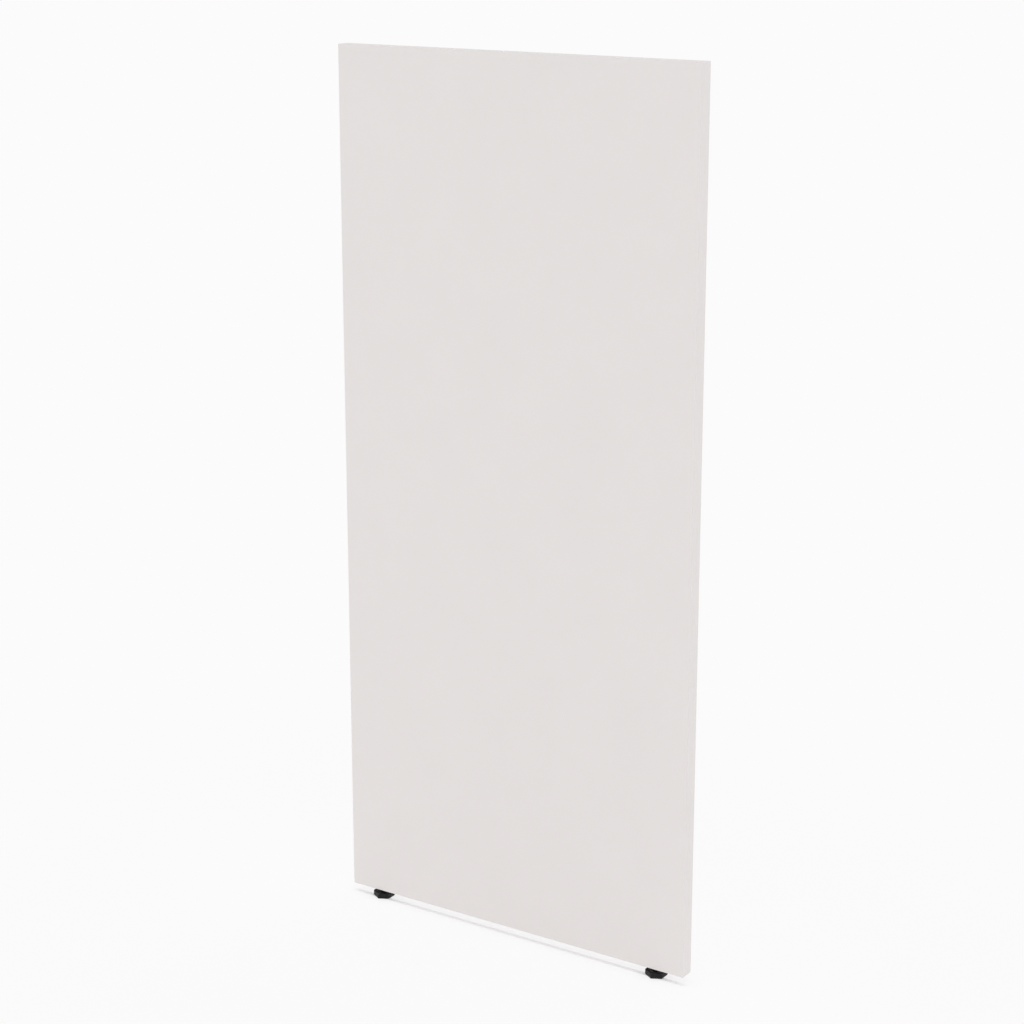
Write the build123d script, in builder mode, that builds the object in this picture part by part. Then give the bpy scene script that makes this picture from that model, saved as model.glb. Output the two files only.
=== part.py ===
from build123d import *

import os

# Office divider panel: a fabric-covered screen that stands on two hexagonal levelling feet.
# A dowelled wooden frame is filled with soft slabs and faced with a board on each side. A front and a back
# cover meet in a seam round the middle of the edge and are stapled under the bottom rail.
# Each foot's threaded stem screws into a steel socket that is let into the bottom rail.
# The origin is on the floor under the middle of the panel. X runs along the width, Y through the
# thickness and Z upwards. The front faces -Y. Lengths are in millimetres.

# Panel
panel_width = 800.0
panel_height = 1750.0

# Covers, from the outside inwards
cover_thickness = 0.5
cover_edge_radius = 0.8
hem_gap = 1.0
hem_hole_radius = 6.5

# Facing boards
board_thickness = 6.0

# Frame: the top and bottom rails run the full width, and the stiles stand between them
frame_thickness = 18.0
stile_width = 34.0
top_rail_height = 45.0
cross_rail_height = 45.0
bottom_rail_height = 70.0
cross_rail_shares = (1 / 3, 2 / 3)

# Dowels, two to a joint and half in each piece
dowel_radius = 4.0
dowel_length = 40.0
dowel_chamfer = 0.8
dowel_play = 0.05
dowel_end_room = 0.5
stile_dowel_spacing = 16.0
rail_dowel_spacing = 22.0

# Soft slabs in the three bays
infill_play = 0.4

# Countersunk screws
screw_head_radius = 3.5
screw_shank_radius = 1.75
screw_tip = 3.0
screw_play = 0.05
board_screw_length = 13.0
socket_screw_length = 16.0
bay_screw_shares = (0.15, 0.5, 0.85)
rail_screw_shares = (-0.7, -0.35, 0, 0.35, 0.7)
countersink_angle = 90

# Staples under the bottom rail
staple_crown = 10.0
staple_width = 1.2
staple_wire = 0.6
staple_leg = 6.0
staple_play = 0.05
staple_margin = 14.0
staple_count = 13
staple_row_share = 0.25

# Levelling feet
foot_inset = 68.0
foot_gap = 5.9
foot_lift = 5.0
stem_radius = 4.0
stem_length = 45.3
stem_chamfer = 0.7
stem_play = 0.05
stem_seat_depth = 7.5
stem_end_play = 0.1
stem_hole_radius = 5.0
stem_hole_room = 3.5
base_corner_radius = 22.5
base_height = 10.0
base_chamfer = 0.8
sole_height = 1.6
sole_inset = 1.0
spigot_radius = 8.0
spigot_height = 1.2
spigot_play = 0.05

# Foot sockets: a plate under the rail with a threaded boss above it
socket_length = 56.0
socket_plate = 2.5
socket_boss_radius = 6.0
socket_boss_height = 14.5
socket_screw_spacing = 38.0
socket_corner_radius = 2.0
socket_play = 0.1

# Places that follow from the sizes above
floor_clearance = sole_height + base_height + foot_gap
frame_width = panel_width - 2 * cover_thickness
frame_height = panel_height - 2 * cover_thickness
frame_bottom = floor_clearance + cover_thickness
frame_top = frame_bottom + frame_height
frame_face = frame_thickness / 2
board_face = frame_face + board_thickness
cover_face = board_face + cover_thickness
stile_bottom = frame_bottom + bottom_rail_height
stile_top = frame_top - top_rail_height
stile_length = stile_top - stile_bottom
stile_x = frame_width / 2 - stile_width / 2
clear_width = frame_width - 2 * stile_width
cross_rail_heights = [stile_bottom + share * stile_length for share in cross_rail_shares]
bay_lows = [stile_bottom] + [z + cross_rail_height / 2 for z in cross_rail_heights]
bay_highs = [z - cross_rail_height / 2 for z in cross_rail_heights] + [stile_top]
foot_x = panel_width / 2 - foot_inset
base_bottom = sole_height
base_top = base_bottom + base_height
stem_bottom = base_top - stem_seat_depth + stem_end_play
stem_top = stem_bottom + stem_length
stem_hole_depth = stem_top + foot_lift + stem_hole_room - frame_bottom

UP = (0, 0, 1)
DOWN = (0, 0, -1)
SIDES = (("left", -1), ("right", 1))
FACES = (("front", -1), ("back", 1))


def facing(places, way):
    """Planes at the places, each with its normal pointing the given way."""
    return [Plane(origin=place, z_dir=way) for place in places]


def upright_plane(y, way):
    """The plane at y that faces the given way, with its middle at the middle of the panel."""
    return Plane(origin=(0, y, floor_clearance + panel_height / 2), x_dir=(1, 0, 0), z_dir=way)


def stile_screw_heights():
    """Heights of the board screws in a stile, a few in each bay."""
    return [
        low + share * (high - low)
        for low, high in zip(bay_lows, bay_highs)
        for share in bay_screw_shares
    ]


def rail_screw_places(z):
    """(x, z) of the board screws in a rail whose middle is at z."""
    return [(share * clear_width / 2, z) for share in rail_screw_shares]


def stile_dowel_places(way, z):
    """The two dowels at one end of a stile."""
    return [(way * stile_x + half * stile_dowel_spacing / 2, 0, z) for half in (-1, 1)]


def rail_dowel_places(way, z):
    """The two dowels at one end of a cross rail."""
    return [(way * clear_width / 2, 0, z + half * rail_dowel_spacing / 2) for half in (-1, 1)]


def dowel_holes(places, way):
    """Holes for half a dowel each, going in against the given way."""
    with Locations(*facing(places, way)):
        Hole(dowel_radius + dowel_play, depth=dowel_length / 2 + dowel_end_room)


def pilot_holes(places):
    """Holes for the board screws in both faces of a frame member."""
    for _, way in FACES:
        mouths = [(x, way * frame_face, z) for x, z in places]
        with Locations(*facing(mouths, (0, way, 0))):
            Hole(screw_shank_radius + screw_play, depth=board_screw_length - board_thickness + screw_play)


def staple_places():
    """(x, y) of the staples: a row between the sockets and one outside each, along both hems."""
    last = foot_x - socket_length / 2 - staple_margin
    inner = [last * (2 * i / (staple_count - 1) - 1) for i in range(staple_count)]
    outer = (foot_x + socket_length / 2 + frame_width / 2) / 2
    rows = [way * staple_row_share * frame_thickness for _, way in FACES]
    return [(x, y) for y in rows for x in [-outer, *inner, outer]]


def staple_leg_places():
    """(x, y) of every staple leg."""
    reach = staple_crown / 2 - staple_wire / 2
    return [(x + half * reach, y) for x, y in staple_places() for half in (-1, 1)]


def staple_slots(keep):
    """Slots for the legs whose place passes the test, from under the hem up to the legs' points."""
    with BuildSketch(Plane.XY.offset(floor_clearance)) as slots:
        with Locations(*[place for place in staple_leg_places() if keep(place)]):
            Rectangle(staple_wire + 2 * staple_play, staple_width + 2 * staple_play)
    extrude(slots.sketch, amount=staple_leg + staple_play, mode=Mode.SUBTRACT)


def every_board_screw():
    """(x, z) of all the screws of one facing board."""
    rails = [frame_bottom + bottom_rail_height / 2, *cross_rail_heights, frame_top - top_rail_height / 2]
    in_stiles = [(way * stile_x, z) for _, way in SIDES for z in stile_screw_heights()]
    return in_stiles + [place for z in rails for place in rail_screw_places(z)]


def screw(length):
    """A countersunk screw that points down, with the top of its head at the origin."""
    cone = screw_head_radius - screw_shank_radius
    with BuildPart() as one_screw:
        with BuildSketch(Plane.XZ):
            with BuildLine():
                Polyline(
                    (0, 0),
                    (screw_head_radius, 0),
                    (screw_shank_radius, -cone),
                    (screw_shank_radius, screw_tip - length),
                    (0, -length),
                    close=True,
                )
            make_face()
        revolve(axis=Axis.Z)
    return one_screw.part


os.makedirs("parts", exist_ok=True)

# Stiles
for side, way in SIDES:
    with BuildPart() as stile:
        with BuildSketch(Plane.XY.offset(stile_bottom)):
            with Locations((way * stile_x, 0)):
                Rectangle(stile_width, frame_thickness)
        extrude(amount=stile_length)
        dowel_holes(stile_dowel_places(way, stile_top), UP)
        dowel_holes(stile_dowel_places(way, stile_bottom), DOWN)
        for z in cross_rail_heights:
            dowel_holes(rail_dowel_places(way, z), (-way, 0, 0))
        pilot_holes([(way * stile_x, z) for z in stile_screw_heights()])
    stile.part.label = f"{side}_stile"
    export_step(stile.part, f"parts/{side}_stile.step")

# Top rail
with BuildPart() as top_rail:
    with BuildSketch(Plane.XY.offset(stile_top)):
        Rectangle(frame_width, frame_thickness)
    extrude(amount=top_rail_height)
    for _, way in SIDES:
        dowel_holes(stile_dowel_places(way, stile_top), DOWN)
    pilot_holes(rail_screw_places(frame_top - top_rail_height / 2))
top_rail.part.label = "top_rail"
export_step(top_rail.part, "parts/top_rail.step")

# Cross rails
for name, z in zip(("lower_cross_rail", "upper_cross_rail"), cross_rail_heights):
    with BuildPart() as cross_rail:
        with BuildSketch(Plane.XY.offset(z - cross_rail_height / 2)):
            Rectangle(clear_width, frame_thickness)
        extrude(amount=cross_rail_height)
        for _, way in SIDES:
            dowel_holes(rail_dowel_places(way, z), (way, 0, 0))
        pilot_holes(rail_screw_places(z))
    cross_rail.part.label = name
    export_step(cross_rail.part, f"parts/{name}.step")

# Bottom rail: notched for the socket plates, bored for their bosses, the stems and the screws, and slotted
# for the staples
feet = [(way * foot_x, 0) for _, way in SIDES]
socket_screws = [(x + half * socket_screw_spacing / 2, 0) for x, _ in feet for half in (-1, 1)]
plate_top = frame_bottom + socket_plate
with BuildPart() as bottom_rail:
    with BuildSketch(Plane.XY.offset(frame_bottom)):
        Rectangle(frame_width, frame_thickness)
    extrude(amount=bottom_rail_height)
    for _, way in SIDES:
        dowel_holes(stile_dowel_places(way, stile_bottom), UP)
    pilot_holes(rail_screw_places(frame_bottom + bottom_rail_height / 2))
    with BuildSketch(Plane.XY.offset(frame_bottom)):
        with Locations(*feet):
            Rectangle(socket_length + 2 * socket_play, frame_thickness)
    extrude(amount=socket_plate, mode=Mode.SUBTRACT)
    with BuildSketch(Plane.XY.offset(plate_top)):
        with Locations(*feet):
            Circle(socket_boss_radius + socket_play)
    extrude(amount=socket_boss_height + socket_play, mode=Mode.SUBTRACT)
    with BuildSketch(Plane.XY.offset(frame_bottom)):
        with Locations(*feet):
            Circle(stem_hole_radius)
    extrude(amount=stem_hole_depth, mode=Mode.SUBTRACT)
    with BuildSketch(Plane.XY.offset(frame_bottom)):
        with Locations(*socket_screws):
            Circle(screw_shank_radius + screw_play)
    extrude(amount=socket_screw_length + screw_play, mode=Mode.SUBTRACT)
    staple_slots(lambda place: True)
bottom_rail.part.label = "bottom_rail"
export_step(bottom_rail.part, "parts/bottom_rail.step")

# Dowels of all the frame joints
with BuildPart() as dowel:
    Cylinder(dowel_radius, dowel_length)
    chamfer(dowel.edges().filter_by(GeomType.CIRCLE), dowel_chamfer)
stile_ends = [(way, z) for _, way in SIDES for z in (stile_bottom, stile_top)]
rail_ends = [(way, z) for _, way in SIDES for z in cross_rail_heights]
upright = [place for way, z in stile_ends for place in stile_dowel_places(way, z)]
level = [place for way, z in rail_ends for place in rail_dowel_places(way, z)]
with BuildPart() as frame_dowels:
    with Locations(*facing(upright, UP), *facing(level, (1, 0, 0))):
        add(dowel.part)
frame_dowels.part.label = "frame_dowels"
export_step(frame_dowels.part, "parts/frame_dowels.step")

# Soft slabs, one in each bay
for name, low, high in zip(("lower_infill", "middle_infill", "upper_infill"), bay_lows, bay_highs):
    with BuildPart() as infill:
        with BuildSketch(Plane.XY.offset(low + infill_play)):
            Rectangle(clear_width - 2 * infill_play, frame_thickness)
        extrude(amount=high - low - 2 * infill_play)
    infill.part.label = name
    export_step(infill.part, f"parts/{name}.step")

# Facing boards and their screws
board_screw = screw(board_screw_length)
for face, way in FACES:
    outer = (0, way, 0)
    mouths = [(x, way * board_face, z) for x, z in every_board_screw()]
    with BuildPart() as board:
        with BuildSketch(upright_plane(way * frame_face, outer)):
            Rectangle(frame_width, frame_height)
        extrude(amount=board_thickness)
        with Locations(*facing(mouths, outer)):
            CounterSinkHole(
                screw_shank_radius + screw_play,
                screw_head_radius + screw_play,
                depth=board_thickness,
                counter_sink_angle=countersink_angle,
            )
    board.part.label = f"{face}_board"
    export_step(board.part, f"parts/{face}_board.step")
    with BuildPart() as board_screws:
        with Locations(*facing(mouths, outer)):
            add(board_screw)
    board_screws.part.label = f"{face}_board_screws"
    export_step(board_screws.part, f"parts/{face}_board_screws.step")

# Covers: each wraps its face and half of every edge, and its hem lies under the bottom rail
for face, way in FACES:
    outer = (0, way, 0)
    with BuildPart() as cover:
        with BuildSketch(upright_plane(0, outer)):
            Rectangle(panel_width, panel_height)
        extrude(amount=cover_face)
        fillet(
            cover.faces().sort_by(Axis.Y)[0 if way < 0 else -1].edges() + cover.edges().filter_by(Axis.Y),
            cover_edge_radius,
        )
        with BuildSketch(upright_plane(0, outer)):
            Rectangle(frame_width, frame_height)
        extrude(amount=board_face, mode=Mode.SUBTRACT)
        with BuildSketch(Plane.XY.offset(floor_clearance)):
            Rectangle(frame_width, hem_gap)
            with Locations(*feet):
                Circle(hem_hole_radius)
        extrude(amount=cover_thickness, mode=Mode.SUBTRACT)
        staple_slots(lambda place: place[1] * way > 0)
    cover.part.label = f"{face}_cover"
    export_step(cover.part, f"parts/{face}_cover.step")

# Staples of both hems
with BuildPart() as staple:
    with BuildSketch(Plane.XZ.offset(-staple_width / 2)):
        with Locations((0, -staple_wire / 2)):
            Rectangle(staple_crown, staple_wire)
        for half in (-1, 1):
            with Locations((half * (staple_crown / 2 - staple_wire / 2), 0)):
                Rectangle(staple_wire, staple_leg, align=(Align.CENTER, Align.MIN))
    extrude(amount=staple_width)
with BuildPart() as cover_staples:
    with Locations(*[(x, y, floor_clearance) for x, y in staple_places()]):
        add(staple.part)
cover_staples.part.label = "cover_staples"
export_step(cover_staples.part, "parts/cover_staples.step")

# Foot sockets
for side, way in SIDES:
    with BuildPart() as socket:
        with BuildSketch(Plane.XY.offset(frame_bottom)):
            with Locations((way * foot_x, 0)):
                RectangleRounded(socket_length, frame_thickness, socket_corner_radius)
        extrude(amount=socket_plate)
        with BuildSketch(Plane.XY.offset(plate_top)):
            with Locations((way * foot_x, 0)):
                Circle(socket_boss_radius)
        extrude(amount=socket_boss_height)
        with BuildSketch(Plane.XY.offset(frame_bottom)):
            with Locations((way * foot_x, 0)):
                Circle(stem_radius + stem_play)
        extrude(amount=socket_plate + socket_boss_height, mode=Mode.SUBTRACT)
        mouths = [(x, y, frame_bottom) for x, y in socket_screws if x * way > 0]
        with Locations(*facing(mouths, DOWN)):
            CounterSinkHole(
                screw_shank_radius + screw_play,
                screw_head_radius + screw_play,
                depth=socket_plate,
                counter_sink_angle=countersink_angle,
            )
    socket.part.label = f"{side}_foot_socket"
    export_step(socket.part, f"parts/{side}_foot_socket.step")

# Screws that hold the sockets
socket_screw = screw(socket_screw_length)
with BuildPart() as foot_socket_screws:
    with Locations(*facing([(x, y, frame_bottom) for x, y in socket_screws], DOWN)):
        add(socket_screw)
foot_socket_screws.part.label = "foot_socket_screws"
export_step(foot_socket_screws.part, "parts/foot_socket_screws.step")

# Threaded stems, plain at the thread's outer radius
for side, way in SIDES:
    with BuildPart() as stem:
        with BuildSketch(Plane.XY.offset(stem_bottom)):
            with Locations((way * foot_x, 0)):
                Circle(stem_radius)
        extrude(amount=stem_length)
        chamfer(stem.edges().filter_by(GeomType.CIRCLE), stem_chamfer)
    stem.part.label = f"{side}_stem"
    export_step(stem.part, f"parts/{side}_stem.step")

# Hexagonal bases, with two corners towards the front and back
for side, way in SIDES:
    with BuildPart() as base:
        with BuildSketch(Plane.XY.offset(base_bottom)):
            with Locations((way * foot_x, 0)):
                RegularPolygon(base_corner_radius, 6, rotation=90)
        extrude(amount=base_height)
        chamfer(base.edges().group_by(Axis.Z)[0] + base.edges().group_by(Axis.Z)[-1], base_chamfer)
        with Locations(*facing([(way * foot_x, 0, base_top)], UP)):
            Hole(stem_radius + stem_play, depth=stem_seat_depth)
        with Locations(*facing([(way * foot_x, 0, base_bottom)], DOWN)):
            Hole(spigot_radius + spigot_play, depth=spigot_height + spigot_play)
    base.part.label = f"{side}_foot_base"
    export_step(base.part, f"parts/{side}_foot_base.step")

# Slip soles, each with a spigot that snaps into its base
for side, way in SIDES:
    with BuildPart() as sole:
        with BuildSketch():
            with Locations((way * foot_x, 0)):
                RegularPolygon(base_corner_radius - sole_inset, 6, rotation=90)
        extrude(amount=sole_height)
        with BuildSketch(Plane.XY.offset(sole_height)):
            with Locations((way * foot_x, 0)):
                Circle(spigot_radius)
        extrude(amount=spigot_height)
    sole.part.label = f"{side}_foot_sole"
    export_step(sole.part, f"parts/{side}_foot_sole.step")
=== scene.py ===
"""The looks of an office divider panel: a fabric cover over a wooden frame, on two levelling feet."""
import math
import bmesh
import bpy
import numpy as np
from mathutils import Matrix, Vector


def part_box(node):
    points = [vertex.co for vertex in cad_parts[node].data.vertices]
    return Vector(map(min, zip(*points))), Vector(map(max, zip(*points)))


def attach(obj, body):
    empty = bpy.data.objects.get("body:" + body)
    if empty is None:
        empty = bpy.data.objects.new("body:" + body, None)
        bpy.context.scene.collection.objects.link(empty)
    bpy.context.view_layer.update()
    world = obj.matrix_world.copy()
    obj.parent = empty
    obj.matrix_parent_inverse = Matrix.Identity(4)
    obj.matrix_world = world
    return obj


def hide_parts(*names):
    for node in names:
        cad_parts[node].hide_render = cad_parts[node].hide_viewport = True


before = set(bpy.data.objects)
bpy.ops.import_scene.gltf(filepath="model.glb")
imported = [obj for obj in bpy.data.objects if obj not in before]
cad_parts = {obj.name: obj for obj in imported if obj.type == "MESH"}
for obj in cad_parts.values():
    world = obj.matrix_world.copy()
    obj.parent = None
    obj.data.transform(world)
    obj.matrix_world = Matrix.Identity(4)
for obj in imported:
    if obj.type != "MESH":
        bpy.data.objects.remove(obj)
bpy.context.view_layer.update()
MM = 0.001

# Sizes taken from the frame
cover_low, cover_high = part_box("front_cover")
panel_low = np.array([cover_low.x, cover_low.y, cover_low.z])
panel_high = np.array([cover_high.x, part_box("back_cover")[1].y, cover_high.z])
panel_middle = (cover_low.z + cover_high.z) / 2
half_depth = (panel_high[1] - panel_low[1]) / 2
cloth = cover_high.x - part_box("front_board")[1].x
foot_places = [sum(c.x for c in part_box(f"{side}_stem")) / 2 for side in ("left", "right")]
stem_low, stem_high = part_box("left_stem")
stem_radius = (stem_high.x - stem_low.x) / 2
base_low, base_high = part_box("left_foot_base")
base_corner = (base_high.y - base_low.y) / 2
spigot_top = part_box("left_foot_sole")[1].z

# How the cover is made
edge_rounding = 1.2 * MM
hem_stop = 0.5 * MM
overlock_width = 2.6 * MM
notch_radius = 6.5 * MM
seam_roll = 0.3 * MM
thread_radius = 0.14 * MM
stitch_spacing = 5 * MM
yarn_pitch = 1.1 * MM
yarn_sway = 0.6 * MM
point_spacing = 25 * MM

# How the slabs are made
slab_rounding = 3.5 * MM
slab_point_spacing = 22 * MM
side_pull = 1.6 * MM
face_dip = 0.35 * MM
lump_depth = 0.25 * MM

# How the feet are made
thread_pitch = 1.25 * MM
thread_depth = 0.72 * MM
stem_tip = 0.9 * MM
stem_play = 0.05 * MM
spigot_hole = 8.1 * MM
spigot_room = 0.2 * MM
corner_rounding = 1.3 * MM
lower_rounding = 0.45 * MM
upper_rounding = 0.8 * MM
skirt_draft = 0.12 * MM

# The panel's shadow on the floor: a thin line in front of the panel's middle, and a faint shade round it
shadow_forward = 10 * MM
shadow_width = 10.5 * MM
line_shade, near_shade, broad_shade = 0.60, 0.14, 0.10

# Colours
cover_shade, cover_light = (0.731, 0.700, 0.688), (0.799, 0.768, 0.756)
thread_shade, thread_light = (0.70, 0.67, 0.655), (0.80, 0.77, 0.755)
pine_light, pine_dark = (0.70, 0.52, 0.32), (0.47, 0.31, 0.17)
beech_light, beech_dark = (0.70, 0.52, 0.34), (0.55, 0.38, 0.23)
board_dark, board_light = (0.34, 0.235, 0.135), (0.50, 0.37, 0.235)
felt_dark, felt_light = (0.24, 0.24, 0.25), (0.40, 0.40, 0.41)
foot_black, foot_scuff = (0.0070, 0.0066, 0.0070), (0.050, 0.048, 0.050)
sole_black, sole_dust = (0.014, 0.0135, 0.014), (0.075, 0.073, 0.072)
paper_white = (0.9734, 0.9647, 0.9734, 1)
floor_paint = (0.93, 0.925, 0.93, 1)
# Paler paint for the floor near the panel: painted light, which cancels the panel's own shade on the
# floor and sends more light back to the panel's lower part
floor_paint_lit_near_panel = (1.0, 0.995, 1.0, 1)


# Shader maths written as Python maths
class Reading:
    """What one socket gives, so that an expression with it adds the nodes for it."""

    def __init__(self, recipe, socket):
        self.recipe = recipe
        self.socket = socket

    def maths(self, operation, *terms):
        return self.recipe.step("ShaderNodeMath", {"operation": operation}, dict(enumerate(terms)))

    def __add__(self, other):
        return self.maths("ADD", self, other)

    def __sub__(self, other):
        return self.maths("SUBTRACT", self, other)

    def __rsub__(self, other):
        return self.maths("SUBTRACT", other, self)

    def __mul__(self, other):
        return self.maths("MULTIPLY", self, other)

    def size(self):
        return self.maths("ABSOLUTE", self)

    def sign(self):
        return self.maths("SIGN", self)

    def root(self):
        return self.maths("SQRT", self)

    def fraction(self):
        return self.maths("FRACT", self)

    def beats(self, other):
        """1 where it is more than other, and 0 elsewhere."""
        return self.maths("GREATER_THAN", self, other)

    def past(self, start):
        """How far it is beyond start, and 0 before it."""
        return self.maths("MAXIMUM", self - start, 0)

    def rising(self, start, end):
        """0 at start and 1 at end, with a soft step between them and no change beyond them."""
        values = {"Value": self, "From Min": start, "From Max": end}
        return self.recipe.step("ShaderNodeMapRange", {"interpolation_type": "SMOOTHSTEP"}, values)

    __radd__ = __add__
    __rmul__ = __mul__


class Recipe:
    """The nodes of one finish, or of the room's light."""

    def __init__(self, tree):
        self.tree = tree
        tree.nodes.clear()

    def step(self, kind, settings=(), values=(), out=0):
        """One node: its settings first, then the values or links of its sockets."""
        node = self.tree.nodes.new(kind)
        for name, value in dict(settings).items():
            setattr(node, name, value)
        for name, value in dict(values).items():
            if isinstance(value, Reading):
                self.tree.links.new(value.socket, node.inputs[name])
            else:
                node.inputs[name].default_value = value
        return Reading(self, node.outputs[out]) if len(node.outputs) else node

    def place(self):
        """The place on the piece, in metres."""
        return self.step("ShaderNodeTexCoord", out="Object")

    def facing(self):
        """The way the piece's surface faces."""
        return self.step("ShaderNodeTexCoord", out="Normal")

    def parts(self, vector):
        """The x, y and z of a vector."""
        split = self.step("ShaderNodeSeparateXYZ", (), {0: vector}).socket.node
        return [Reading(self, socket) for socket in split.outputs]

    def stretched(self, vector, shares):
        """The vector times those shares along x, y and z."""
        return self.step("ShaderNodeVectorMath", {"operation": "MULTIPLY"}, {0: vector, 1: shares})

    def cloudy(self, vector, per_metre, detail=2.0, roughness=0.5):
        """Noise with that many features a metre along x, y and z."""
        spread = self.stretched(vector, per_metre)
        values = {"Vector": spread, "Scale": 1.0, "Detail": detail, "Roughness": roughness}
        return self.step("ShaderNodeTexNoise", (), values)

    def tint(self, low, high, share):
        """The colour between low and high at that share."""
        # The Mix node has its colours in sockets 6 and 7, and gives their mix in output 2
        values = {0: share, 6: (*low, 1), 7: (*high, 1)}
        return self.step("ShaderNodeMix", {"data_type": "RGBA"}, values, out=2)

    def mixed(self, share, first, second):
        """The surface between first and second at that share."""
        return self.step("ShaderNodeMixShader", (), {0: share, 1: first, 2: second})


def finish(name, making):
    """A material with the Principled sockets that making(recipe) returns. relief is (height, depth)."""
    material = bpy.data.materials.new(name)
    material.use_nodes = True
    recipe = Recipe(material.node_tree)
    sockets = making(recipe)
    height, depth = sockets.pop("relief")
    bump = {"Strength": 1.0, "Distance": depth, "Height": height}
    sockets["Normal"] = recipe.step("ShaderNodeBump", (), bump)
    surface = recipe.step("ShaderNodeBsdfPrincipled", (), sockets)
    recipe.step("ShaderNodeOutputMaterial", (), {"Surface": surface})
    return material


# Finishes
def weave_run(r):
    """The place along the cloth's yarns, which go round the rounded edges at their own pitch."""
    across, deep, up = r.parts(r.place())
    to_end, _, to_top = [n.size() for n in r.parts(r.facing())]
    inset = panel_high[1] - deep.size()
    sway = r.cloudy(r.place(), (130, 130, 130), 1.0) * yarn_sway
    round_end = across + across.sign() * inset * to_end.beats(to_top) + sway
    over_top = up + (up - panel_middle).sign() * inset * to_top.beats(to_end) + sway
    return r.step("ShaderNodeCombineXYZ", (), {0: round_end, 1: over_top})


def plain_weave(r, run):
    """How high the cloth stands in its weave, where warp and weft cross over and under each other."""
    crossings = r.stretched(run, (1 / yarn_pitch,) * 3)
    warp_over = r.step("ShaderNodeTexChecker", (), {"Vector": crossings, "Scale": 1.0}, out="Fac")
    in_crossing = r.step("ShaderNodeVectorMath", {"operation": "FRACTION"}, {0: crossings})
    arch_across, arch_up, _ = [n * (1 - n) * 4 for n in r.parts(in_crossing)]
    warp = arch_across * (arch_up * 0.6 + 0.4)
    weft = arch_up * (arch_across * 0.6 + 0.4)
    return warp_over * warp + (1 - warp_over) * weft


def woven_cover(r):
    """Plain woven screen cloth with slubs, a soft broad mottle, painted shade in the hollows of its
    weave, and an overlocked hem edge.
    """
    run = weave_run(r)
    weave = plain_weave(r, run)
    slubs = r.cloudy(run, (90, 820, 0), 1.0) * 0.5 + r.cloudy(run, (820, 90, 0), 1.0) * 0.5
    mottle = r.cloudy(run, (9, 7, 0), 3.0)
    _, deep, up = r.parts(r.place())
    underside = up.rising(panel_low[2] + 0.8 * MM, panel_low[2] + 0.3 * MM)
    hem_edge = underside * deep.size().rising(overlock_width + 0.6 * MM, overlock_width)
    bands = {"Vector": r.place(), "Scale": 95.0, "Distortion": 0.6}
    loops = r.step("ShaderNodeTexWave", {"wave_type": "BANDS", "bands_direction": "X"}, bands)
    overlock = hem_edge * loops
    # The weave's raised crossings are paler and the hollows between them darker, which is painted shade.
    # The slubs and the broad mottle are the cloth's own tone.
    tone_and_weave_shade = weave * 0.35 + slubs * 0.5 + mottle * 0.35 - overlock * 0.35
    return {
        "Base Color": r.tint(cover_shade, cover_light, tone_and_weave_shade),
        "Roughness": 0.86 + (slubs - 0.5) * 0.12,
        "Specular IOR Level": 0.25,
        "Sheen Weight": 0.08,
        "Sheen Roughness": 0.5,
        "relief": (weave * 0.6 + slubs * 0.8 + overlock * 0.8, 0.18 * MM),
    }


def sewing_thread(r):
    """Twisted thread in the cover's colour."""
    ply = r.cloudy(r.place(), (2600, 2600, 2600), 1.0)
    return {
        "Base Color": r.tint(thread_shade, thread_light, ply),
        "Roughness": 0.6 + ply * 0.1,
        "relief": (ply, 0.05 * MM),
    }


def timber(along, light, dark, rings=8.4):
    """Planed timber with its grain along that axis."""
    broad = tuple(2.0 if axis == along else 34.0 for axis in "xyz")
    fibre = tuple(18.0 if axis == along else 900.0 for axis in "xyz")

    def making(r):
        late_wood = (r.cloudy(r.place(), broad, 3.0) * rings).fraction().rising(0.45, 0.95) * 0.7
        fine = r.cloudy(r.place(), fibre, 2.0)
        return {
            "Base Color": r.tint(light, dark, late_wood + fine * 0.3),
            "Roughness": 0.55 + fine * 0.2,
            "relief": (fine + late_wood * 0.5, 0.12 * MM),
        }
    return making


def pressed_board(r):
    """Hardboard: matted brown fibres, denser and darker in patches."""
    fibre = r.cloudy(r.place(), (420, 900, 260), 4.0, 0.7)
    patch = r.cloudy(r.place(), (14, 14, 11), 2.0)
    return {
        "Base Color": r.tint(board_dark, board_light, fibre * 0.7 + patch * 0.3),
        "Roughness": 0.5 + fibre * 0.25,
        "relief": (fibre, 0.1 * MM),
    }


def pressed_felt(r):
    """Grey recycled-fibre felt with stray light fibres."""
    lint = r.cloudy(r.place(), (700, 700, 240), 5.0, 0.75)
    tuft = r.cloudy(r.place(), (70, 70, 50), 3.0)
    stray = r.cloudy(r.place(), (160, 1500, 1500), 1.0).rising(0.62, 0.72)
    return {
        "Base Color": r.tint(felt_dark, felt_light, lint * 0.6 + tuft * 0.4 + stray * 0.5),
        "Roughness": 0.9 + (lint - 0.5) * 0.1,
        "Sheen Weight": 0.2,
        "relief": (lint + tuft, 0.8 * MM),
    }


def plated_steel(dark, light, roughness, spangle=220.0):
    """Zinc-plated steel: a fine spangle, drawn marks and dull patches."""
    def making(r):
        grain = r.cloudy(r.place(), (spangle, spangle, spangle), 2.0)
        drawn = r.cloudy(r.place(), (2500, 2500, 120), 1.0)
        return {
            "Base Color": r.tint(dark, light, grain * 0.6 + drawn * 0.4),
            "Metallic": 1.0,
            "Roughness": roughness + (grain - 0.5) * 0.25,
            "relief": (drawn, 0.02 * MM),
        }
    return making


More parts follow.
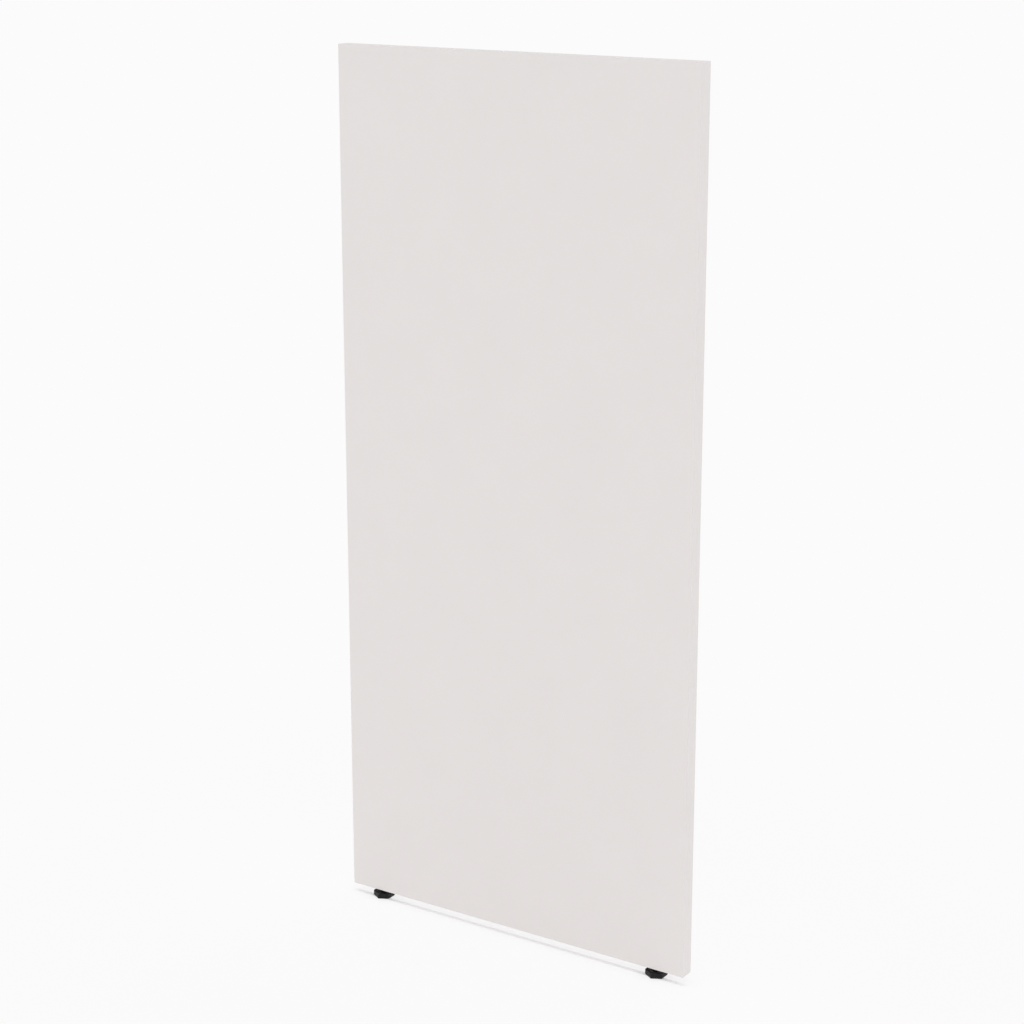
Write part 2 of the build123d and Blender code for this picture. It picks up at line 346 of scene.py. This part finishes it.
def moulded_black(r):
    """Black moulded plastic with a spark-eroded grain, and scuffs along its lower edge and corners."""
    across, deep, up = r.parts(r.place())
    grain = r.cloudy(r.place(), (2100, 2100, 2100), 2.0)
    smear = r.cloudy(r.place(), (60, 60, 160), 3.0)
    from_stem = (across.size() - foot_places[1]).size()
    reach = (from_stem * from_stem + deep * deep).root()
    corner = reach.rising(base_corner - 1.4 * MM, base_corner - 0.3 * MM)
    foot_edge = 1 - up.rising(base_low.z + 0.1 * MM, base_low.z + 1.8 * MM)
    scuff = (corner * 0.7 + foot_edge * 0.5) * smear.rising(0.48, 0.66)
    return {
        "Base Color": r.tint(foot_black, foot_scuff, scuff + smear * 0.06),
        "Roughness": 0.42 + grain * 0.16 + scuff * 0.15,
        "Specular IOR Level": 0.2,
        "relief": (grain, 0.04 * MM),
    }


def slip_sole(r):
    """Hard black plastic with floor dust in its grain."""
    grain = r.cloudy(r.place(), (1300, 1300, 1300), 3.0)
    dust = r.cloudy(r.place(), (90, 90, 90), 3.0).rising(0.5, 0.75)
    return {
        "Base Color": r.tint(sole_black, sole_dust, dust * 0.6 + grain * 0.1),
        "Roughness": 0.62 + grain * 0.2,
        "Specular IOR Level": 0.3,
        "relief": (grain, 0.06 * MM),
    }


cover_finish = finish("woven_cover", woven_cover)
thread_finish = finish("sewing_thread", sewing_thread)
upright_timber = finish("timber_upright", timber("z", pine_light, pine_dark))
level_timber = finish("timber_level", timber("x", pine_light, pine_dark))
dowel_beech = finish("dowel_beech", timber("x", beech_light, beech_dark, 3.6))
board_finish = finish("pressed_board", pressed_board)
felt_finish = finish("pressed_felt", pressed_felt)
screw_steel = finish("plated_screws", plated_steel((0.52, 0.52, 0.50), (0.70, 0.69, 0.66), 0.34))
staple_steel = finish("staple_wire", plated_steel((0.46, 0.46, 0.47), (0.64, 0.64, 0.65), 0.3, 600.0))
socket_steel = finish("socket_steel", plated_steel((0.50, 0.51, 0.53), (0.68, 0.69, 0.71), 0.38, 140.0))
stem_steel = finish("stem_steel", plated_steel((0.36, 0.36, 0.37), (0.56, 0.56, 0.57), 0.32, 400.0))
foot_finish = finish("moulded_black", moulded_black)
sole_finish = finish("slip_sole", slip_sole)

# The pieces of the frame that keep their CAD shape
for material, nodes in (
    (upright_timber, ("left_stile", "right_stile")),
    (level_timber, ("top_rail", "upper_cross_rail", "lower_cross_rail", "bottom_rail")),
    (dowel_beech, ("frame_dowels",)),
    (board_finish, ("front_board", "back_board")),
    (screw_steel, ("front_board_screws", "back_board_screws", "foot_socket_screws")),
    (staple_steel, ("cover_staples",)),
    (socket_steel, ("left_foot_socket", "right_foot_socket")),
    (sole_finish, ("left_foot_sole", "right_foot_sole")),
):
    for node in nodes:
        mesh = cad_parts[node].data
        mesh.materials.clear()
        mesh.materials.append(material)


# Shapes from patches of points
def joined(name, patches, material, body, outward):
    """A piece of patches, which are grids of points, joined at their edges.

    outward is a point on its skin and the way that the skin faces there.
    """
    points, quads, first = [], [], 0
    for patch in patches:
        rows, columns = patch.shape[:2]
        at = np.arange(rows * columns).reshape(rows, columns) + first
        quads.append(np.stack([at[:-1, :-1], at[:-1, 1:], at[1:, 1:], at[1:, :-1]], -1).reshape(-1, 4))
        points.append(patch.reshape(-1, 3))
        first += rows * columns
    mesh = bpy.data.meshes.new(name)
    mesh.from_pydata(np.concatenate(points).tolist(), [], np.concatenate(quads).tolist())
    skin = bmesh.new()
    skin.from_mesh(mesh)
    bmesh.ops.remove_doubles(skin, verts=skin.verts, dist=0.004 * MM)
    bmesh.ops.recalc_face_normals(skin, faces=skin.faces)
    place, way = Vector(outward[0]), Vector(outward[1])
    nearest = min(skin.faces, key=lambda face: (face.calc_center_median() - place).length)
    if nearest.normal.dot(way) < 0:
        bmesh.ops.reverse_faces(skin, faces=skin.faces)
    skin.to_mesh(mesh)
    skin.free()
    mesh.polygons.foreach_set("use_smooth", [True] * len(mesh.polygons))
    mesh.materials.append(material)
    piece = bpy.data.objects.new(name, mesh)
    bpy.context.scene.collection.objects.link(piece)
    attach(piece, body)
    return piece


def sheet_of(first, second, fixed_axis, fixed):
    """The grid of points with those places along the two free axes, on a flat face."""
    a, b = np.meshgrid(first, second, indexing="ij")
    grid = np.zeros((*a.shape, 3))
    free = [axis for axis in range(3) if axis != fixed_axis]
    grid[..., free[0]] = a
    grid[..., free[1]] = b
    grid[..., fixed_axis] = fixed
    return grid


def rounded(points, low, high, rounding, sink=0.0):
    """Points of a sharp box, moved onto the box with rounded edges and sunk in by that depth."""
    centre = (low + high) / 2
    half = (high - low) / 2 - rounding
    inner = centre + np.clip(points - centre, -half, half)
    way = points - inner
    way = way / np.linalg.norm(way, axis=-1, keepdims=True)
    return inner + way * (rounding - np.broadcast_to(sink, points.shape[:-1])[..., None])


# Places over a rounded edge, as shares of its rounding
over_edge = np.array([0, 0.25, 0.5, 0.75, 1, 1.5])


def stations(low, high, spacing, rounding, extra=()):
    """Places along a face: close together over its rounded edges and at the extra places."""
    edge = over_edge * rounding
    inner_low, inner_high = low + 3 * rounding, high - 3 * rounding
    middle = np.linspace(inner_low, inner_high, round((high - low) / spacing) + 1)
    return np.unique(np.round(np.concatenate([low + edge, high - edge, middle, extra]), 7))


# The two halves of the cover
def hem_sheet(across, deep, at):
    """The points of the cloth under the bottom rail, drawn in round the stems by its notches."""
    firm = 4 * MM
    reach = np.full(len(across), half_depth - hem_stop)
    for x in foot_places:
        near = np.abs(across - x) <= notch_radius
        notch = np.sqrt(np.maximum(notch_radius ** 2 - (across[near] - x) ** 2, 0))
        reach[near] = np.minimum(reach[near], half_depth - notch)
    drawn_in = (reach[:, None] - firm) / (deep[-1] - firm)
    flat = sheet_of(across, deep, 2, panel_low[2])
    flat[..., 1] = at(np.where(deep > firm, firm + (deep - firm) * drawn_in, deep))
    return flat


def cover_half(name, replaced, way):
    """One face, half of the ends and top up to the seam, and the hem. way is -1 for the front."""
    notches = np.concatenate([np.linspace(-1, 1, 15) * notch_radius + x for x in foot_places])
    across = stations(panel_low[0], panel_high[0], point_spacing, edge_rounding, notches)
    up = stations(panel_low[2], panel_high[2], point_spacing, edge_rounding)
    inner = np.array([4, 8, 12, 14]) * MM
    deep = np.concatenate([over_edge * edge_rounding, inner, [half_depth - hem_stop]])
    to_seam = np.concatenate([deep, half_depth - np.array([0.3, 0.12, 0.03]) * MM])
    seam_sink = np.concatenate([np.zeros(len(deep)), np.array([0.0, 0.12, 1.0]) * seam_roll])
    face_y = way * half_depth

    def at(depth):
        return way * (half_depth - depth)

    def wrapped(flat, sink=0.0):
        return rounded(flat, panel_low, panel_high, edge_rounding, sink)

    patches = [
        wrapped(sheet_of(across, up, 1, face_y)),
        wrapped(sheet_of(at(to_seam), up, 0, panel_low[0]), seam_sink[:, None]),
        wrapped(sheet_of(at(to_seam), up, 0, panel_high[0]), seam_sink[:, None]),
        wrapped(sheet_of(across, at(to_seam), 2, panel_high[2]), seam_sink[None, :]),
        wrapped(hem_sheet(across, deep, at)),
    ]
    outward = ((0, face_y, panel_middle), (0, way, 0))
    piece = joined(name, patches, cover_finish, "panel", outward)
    thickness = piece.modifiers.new("cloth_thickness", "SOLIDIFY")
    thickness.thickness = cloth * 0.96
    thickness.offset = -1
    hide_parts(replaced)
    return piece


def seam_stitches():
    """The thread that closes the seam round the ends and top: short stitches across the groove."""
    turn = np.radians([0, 90, 180, 270, 360])
    # One stitch, ring by ring from front to back, closed at both ends
    across_groove = np.array([-0.62, -0.62, -0.38, 0, 0.38, 0.62, 0.62])[:, None] * MM
    height = np.array([-0.42, -0.42, -0.16, -0.1, -0.16, -0.42, -0.42])[:, None] * MM
    radius = np.array([0, 1, 1, 1, 1, 1, 0])[:, None] * thread_radius
    along = radius * np.cos(turn)
    out = height + radius * np.sin(turn)
    deep = np.broadcast_to(across_groove, out.shape)
    rise = np.arange(panel_low[2] + 6 * MM, panel_high[2] - 3 * MM, stitch_spacing)
    run = np.arange(panel_low[0] + 6 * MM, panel_high[0] - 3 * MM, stitch_spacing)
    patches = []
    for z in rise:
        patches.append(np.stack([panel_high[0] + out, deep, z + along], -1))
        patches.append(np.stack([panel_low[0] - out, deep, z + along], -1))
    for x in run:
        patches.append(np.stack([x + along, deep, panel_high[2] + out], -1))
    outward = ((panel_high[0], 0, rise[3]), (1, 0, 0))
    joined("seam_stitches", patches, thread_finish, "panel", outward)


def corner_tucks(name, way):
    """The folded corners of the cloth on the hem's underside, a flap at each end."""
    corners = np.array([(0.9, 1.1), (14.9, 1.1), (0.9, 14.0), (0.9, 1.1)]) * MM
    shares = np.linspace(0, 1, 6, endpoint=False)[:, None]
    sides = [start + (end - start) * shares for start, end in zip(corners, corners[1:])]
    outline = np.concatenate([*sides, corners[:1]])
    middle = corners[:3].mean(axis=0)
    flaps = []
    for end in (-1, 1):
        rows = []
        # From the cloth down over the folded edge: the share of the outline, and how far below the hem
        for share, drop in ((0, 0), (1, 0), (1.02, 0.22), (1, 0.42), (0.96, 0.5), (0, 0.5)):
            from_end, from_face = (middle + (outline - middle) * share).T
            x = end * (panel_high[0] - from_end)
            y = way * (panel_high[1] - from_face)
            rows.append(np.column_stack([x, y, np.full(len(outline), panel_low[2] - drop * MM)]))
        flaps.append(np.stack(rows))
    outward = ((panel_high[0], way * 12 * MM, 16 * MM), (0, 0, -1))
    return joined(name, flaps, cover_finish, "panel", outward)


front_cloth = cover_half("front_cover_cloth", "front_cover", -1)
back_cloth = cover_half("back_cover_cloth", "back_cover", 1)
front_tucks = corner_tucks("front_hem_tucks", -1)
back_tucks = corner_tucks("back_hem_tucks", 1)
seam_stitches()


# Infill slabs in the bays
def infill_slab(bay):
    """A felt slab with soft edges. Its sides pull in between the corners, and its faces dip a little."""
    low, high = (np.array(corner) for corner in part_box(f"{bay}_infill"))
    across, up = [stations(low[axis], high[axis], slab_point_spacing, slab_rounding) for axis in (0, 2)]
    near_face = np.array([0, 0.35, 0.7, 1]) * slab_rounding
    thick = np.concatenate([low[1] + near_face, [0.0], high[1] - near_face[::-1]])

    def pulled(patch, axis):
        share = (patch - low) / (high - low)
        bow = np.ones(patch.shape[:2])
        for other in range(3):
            if other != axis:
                fullness = 0.2 if other == 1 else 0.6
                bow = bow * np.sin(np.pi * np.clip(share[..., other], 0, 1)) ** fullness
        lumps = np.abs(np.sin(share[..., 0] * 23 + 1.3) * np.sin(share[..., 2] * 19 + 0.7)) * lump_depth
        sink = side_pull if axis != 1 else face_dip + lumps
        return rounded(patch, low, high, slab_rounding, bow * sink)

    patches = [pulled(sheet_of(across, up, 1, y), 1) for y in (low[1], high[1])]
    patches += [pulled(sheet_of(thick, up, 0, x), 0) for x in (low[0], high[0])]
    patches += [pulled(sheet_of(across, thick, 2, z), 2) for z in (low[2], high[2])]
    outward = ((0, low[1], (low[2] + high[2]) / 2), (0, -1, 0))
    slab = joined(f"{bay}_infill_slab", patches, felt_finish, "panel", outward)
    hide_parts(f"{bay}_infill")


for bay in ("lower", "middle", "upper"):
    infill_slab(bay)


# Levelling feet
def hexagon(corner_radius, rounding):
    """A hexagon with rounded corners, two of them to the front and back, as a closed run of points."""
    to_centre = corner_radius - rounding / math.cos(math.radians(30))
    corners = []
    for number in range(6):
        angle = math.radians(90 + 60 * number)
        sweep = angle + np.radians(np.linspace(-30, 30, 6))
        centre = to_centre * np.array([math.cos(angle), math.sin(angle)])
        corners.append(centre + rounding * np.column_stack([np.cos(sweep), np.sin(sweep)]))
    run = []
    for corner, following in zip(corners, corners[1:] + corners[:1]):
        start, end = corner[-1], following[0]
        run += [corner, start + (end - start) * np.linspace(0, 1, 6)[1:-1, None]]
    return np.concatenate([*run, corners[0][:1]])


def threaded_stem(side, x):
    """An M8 stem with its screw thread cut along the whole length and both ends chamfered."""
    around = np.linspace(0, 2 * math.pi, 25)
    rows = round((stem_high.z - stem_low.z) / thread_pitch * 7)
    heights = np.linspace(stem_low.z, stem_high.z, rows)
    turns = (heights[:, None] / thread_pitch - around[None, :] / (2 * math.pi)) % 1
    # 0 on the crest and 1 at the root, with a straight flank between them
    root = np.clip((np.abs(turns - 0.5) * 2 - 0.18) / 0.62, 0, 1)
    from_end = np.minimum(heights - stem_low.z, stem_high.z - heights)
    radius = np.minimum(stem_radius - thread_depth * root, (stem_radius - stem_tip + from_end)[:, None])
    height = np.broadcast_to(heights[:, None], radius.shape)
    rod = np.stack([x + radius * np.cos(around), radius * np.sin(around), height], -1)
    bottom, top = [np.broadcast_to(np.array([x, 0, z]), (1, 25, 3)) for z in (stem_low.z, stem_high.z)]
    skin = np.concatenate([bottom, rod, top])
    outward = ((x + stem_radius, 0, 14.5 * MM), (1, 0, 0))
    stem = joined(f"{side}_threaded_stem", [skin], stem_steel, f"{side}_stem", outward)
    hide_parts(f"{side}_stem")


def base_profile():
    """The base's rows, from the recess over the sole, round the skirt and over the top to the stem.

    Each row has its share of the hexagon, the radius added to it, and its height.
    """
    low, high = base_low.z, base_high.z
    recess_top = spigot_top + spigot_room
    skirt_top = high - upper_rounding
    bore = stem_radius + stem_play
    arc = np.radians([0, 22, 45, 68, 90])
    recess = [(0, 0, recess_top), (0, spigot_hole, recess_top), (0, spigot_hole, low)]
    sole_face = [(0, 16 * MM, low), (1, -2 * lower_rounding, low)]
    skirt = []
    for turn in arc:
        inset, rise = lower_rounding * (1 - np.sin(turn)), lower_rounding * (1 - np.cos(turn))
        skirt.append((1, -inset, low + rise))
    skirt += [(1, -0.05 * MM, low + 3 * MM), (1, -skirt_draft, skirt_top)]
    for turn in arc[1:]:
        inset, rise = upper_rounding * (1 - np.cos(turn)), upper_rounding * np.sin(turn)
        skirt.append((1, -skirt_draft - inset, skirt_top + rise))
    rim = [(1, -2.6 * MM, high)]
    dish = (14.2, 0), (13.7, 0.15), (13.1, 0.75), (12.4, 0.95), (8.6, 0.95), (8.0, 0.8), (7.5, 0.2)
    collar = (7.1, 0), (5.2, 0), (4.6, 0.15)
    top = [(0, radius * MM, high - depth * MM) for radius, depth in dish + collar]
    stem_hole = [(0, bore, high - 0.7 * MM), (0, bore, stem_low.z), (0, 0, stem_low.z)]
    return recess + sole_face + skirt + rim + top + stem_hole


def moulded_base(side, x):
    """The foot's base: a drafted skirt with soft corners, a flat rim, a dished top and a collar."""
    section = hexagon(base_corner, corner_rounding)
    from_stem = section / np.linalg.norm(section, axis=1, keepdims=True)
    rows = []
    for share, radius, height in base_profile():
        around = section * share + from_stem * radius + np.array([x, 0])
        rows.append(np.column_stack([around, np.full(len(section), height)]))
    skin = np.stack(rows)
    outward = ((x, base_low.y, (base_low.z + base_high.z) / 2), (0, -1, 0))
    base = joined(f"{side}_moulded_base", [skin], foot_finish, f"{side}_foot", outward)
    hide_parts(f"{side}_foot_base")


for side, x in zip(("left", "right"), foot_places):
    threaded_stem(side, x)
    moulded_base(side, x)


# Floor, light and camera
def seen_directly(r):
    """1 for what the camera sees, in person or in a reflection."""
    rays = r.step("ShaderNodeLightPath").socket.node.outputs
    seen = [Reading(r, rays[f"Is {kind} Ray"]) for kind in ("Camera", "Glossy", "Transmission")]
    return (seen[0] + seen[1] + seen[2]).rising(0.1, 0.9)


def pale_floor(r):
    """A pale floor as white as the backdrop. The panel's shadow shows on it mostly as a thin line."""
    across, deep, _ = r.parts(r.place())
    beside = across.size().past(panel_high[0])
    before = deep.size().past(panel_high[1])
    away = (beside * beside + before * before).root()
    white = r.step("ShaderNodeEmission", (), {"Color": paper_white, "Strength": 1.0})
    # The paint gets paler within 0.7 m of the panel. This is painted light against the panel's own shade
    # on the floor, not fresher paint.
    far_floor_paint = r.step("ShaderNodeBsdfDiffuse", (), {"Color": floor_paint})
    paint_lit_near_panel = r.step("ShaderNodeBsdfDiffuse", (), {"Color": floor_paint_lit_near_panel})
    paint = r.mixed(away.rising(0.02, 0.7), paint_lit_near_panel, far_floor_paint)
    from_line = (deep + shadow_forward).size()
    on_line = 1 - from_line.rising(shadow_width / 2 - MM, shadow_width / 2 + MM)
    line = on_line * (1 - beside.rising(0.0, 4 * MM))
    near = 1 - away.rising(0.0, 35 * MM)
    broad = 1 - away.rising(0.3, 1.5)
    shade = line * line_shade + near * near_shade + broad * broad_shade
    return r.mixed(seen_directly(r) * (1 - shade), paint, white)


def lay_floor():
    """Two halves that meet under the middle of the panel. Each goes with the foot that stands on it."""
    material = bpy.data.materials.new("pale_floor")
    material.use_nodes = True
    r = Recipe(material.node_tree)
    r.step("ShaderNodeOutputMaterial", (), {"Surface": pale_floor(r)})
    reach, riser = 60.0, 30 * MM
    for side, end in (("left", -reach), ("right", reach)):
        level = [(0, -reach, 0), (end, -reach, 0), (end, reach, 0), (0, reach, 0)]
        under = [(0, -reach, -riser), (0, reach, -riser)]
        mesh = bpy.data.meshes.new(f"{side}_floor")
        mesh.from_pydata(level + under, [], [(0, 1, 2, 3), (0, 3, 5, 4)])
        mesh.materials.append(material)
        floor = bpy.data.objects.new(f"{side}_floor", mesh)
        bpy.context.scene.collection.objects.link(floor)
        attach(floor, f"{side}_foot")


def light_room():
    """An even pale room with four large soft lamps."""
    world = bpy.data.worlds.new("studio")
    bpy.context.scene.world = world
    world.use_nodes = True
    r = Recipe(world.node_tree)
    room = r.step("ShaderNodeBackground", (), {"Color": (1, 1, 1, 1), "Strength": 0.875})
    white = r.step("ShaderNodeBackground", (), {"Color": paper_white, "Strength": 1.0})
    r.step("ShaderNodeOutputWorld", (), {"Surface": r.mixed(seen_directly(r), room, white)})
    aim = Vector((0, 0, 0.5))
    for name, place, watts, width in (
        ("front_lamp", (5.6, -4.4, 1.3), 60, 2.4),
        ("left_lamp", (-5.0, -2.0, 1.3), 36, 2.4),
        ("back_lamp", (0.8, 6.5, 1.5), 62, 2.6),
        ("top_lamp", (0.0, 0.0, 5.0), 14, 2.4),
    ):
        lamp = bpy.data.lights.new(name, "AREA")
        lamp.energy = watts
        lamp.size = width
        holder = bpy.data.objects.new(name, lamp)
        holder.location = place
        holder.rotation_euler = (aim - Vector(place)).to_track_quat("-Z", "Y").to_euler()
        bpy.context.scene.collection.objects.link(holder)


def set_camera():
    """The photograph's view: from the front right and just above the top edge."""
    looks_down, looks_left = 15.43, 33.59
    camera = bpy.data.cameras.new("camera")
    camera.lens = 81.81
    camera.sensor_width = 36
    camera.clip_start = 0.05
    camera.clip_end = 200
    holder = bpy.data.objects.new("camera", camera)
    holder.location = (2.398, -3.623, 2.090)
    holder.rotation_euler = (math.radians(90 - looks_down), 0, math.radians(looks_left))
    bpy.context.scene.collection.objects.link(holder)
    bpy.context.scene.camera = holder


lay_floor()
light_room()
set_camera()
bpy.context.scene.view_settings.view_transform = "Standard"
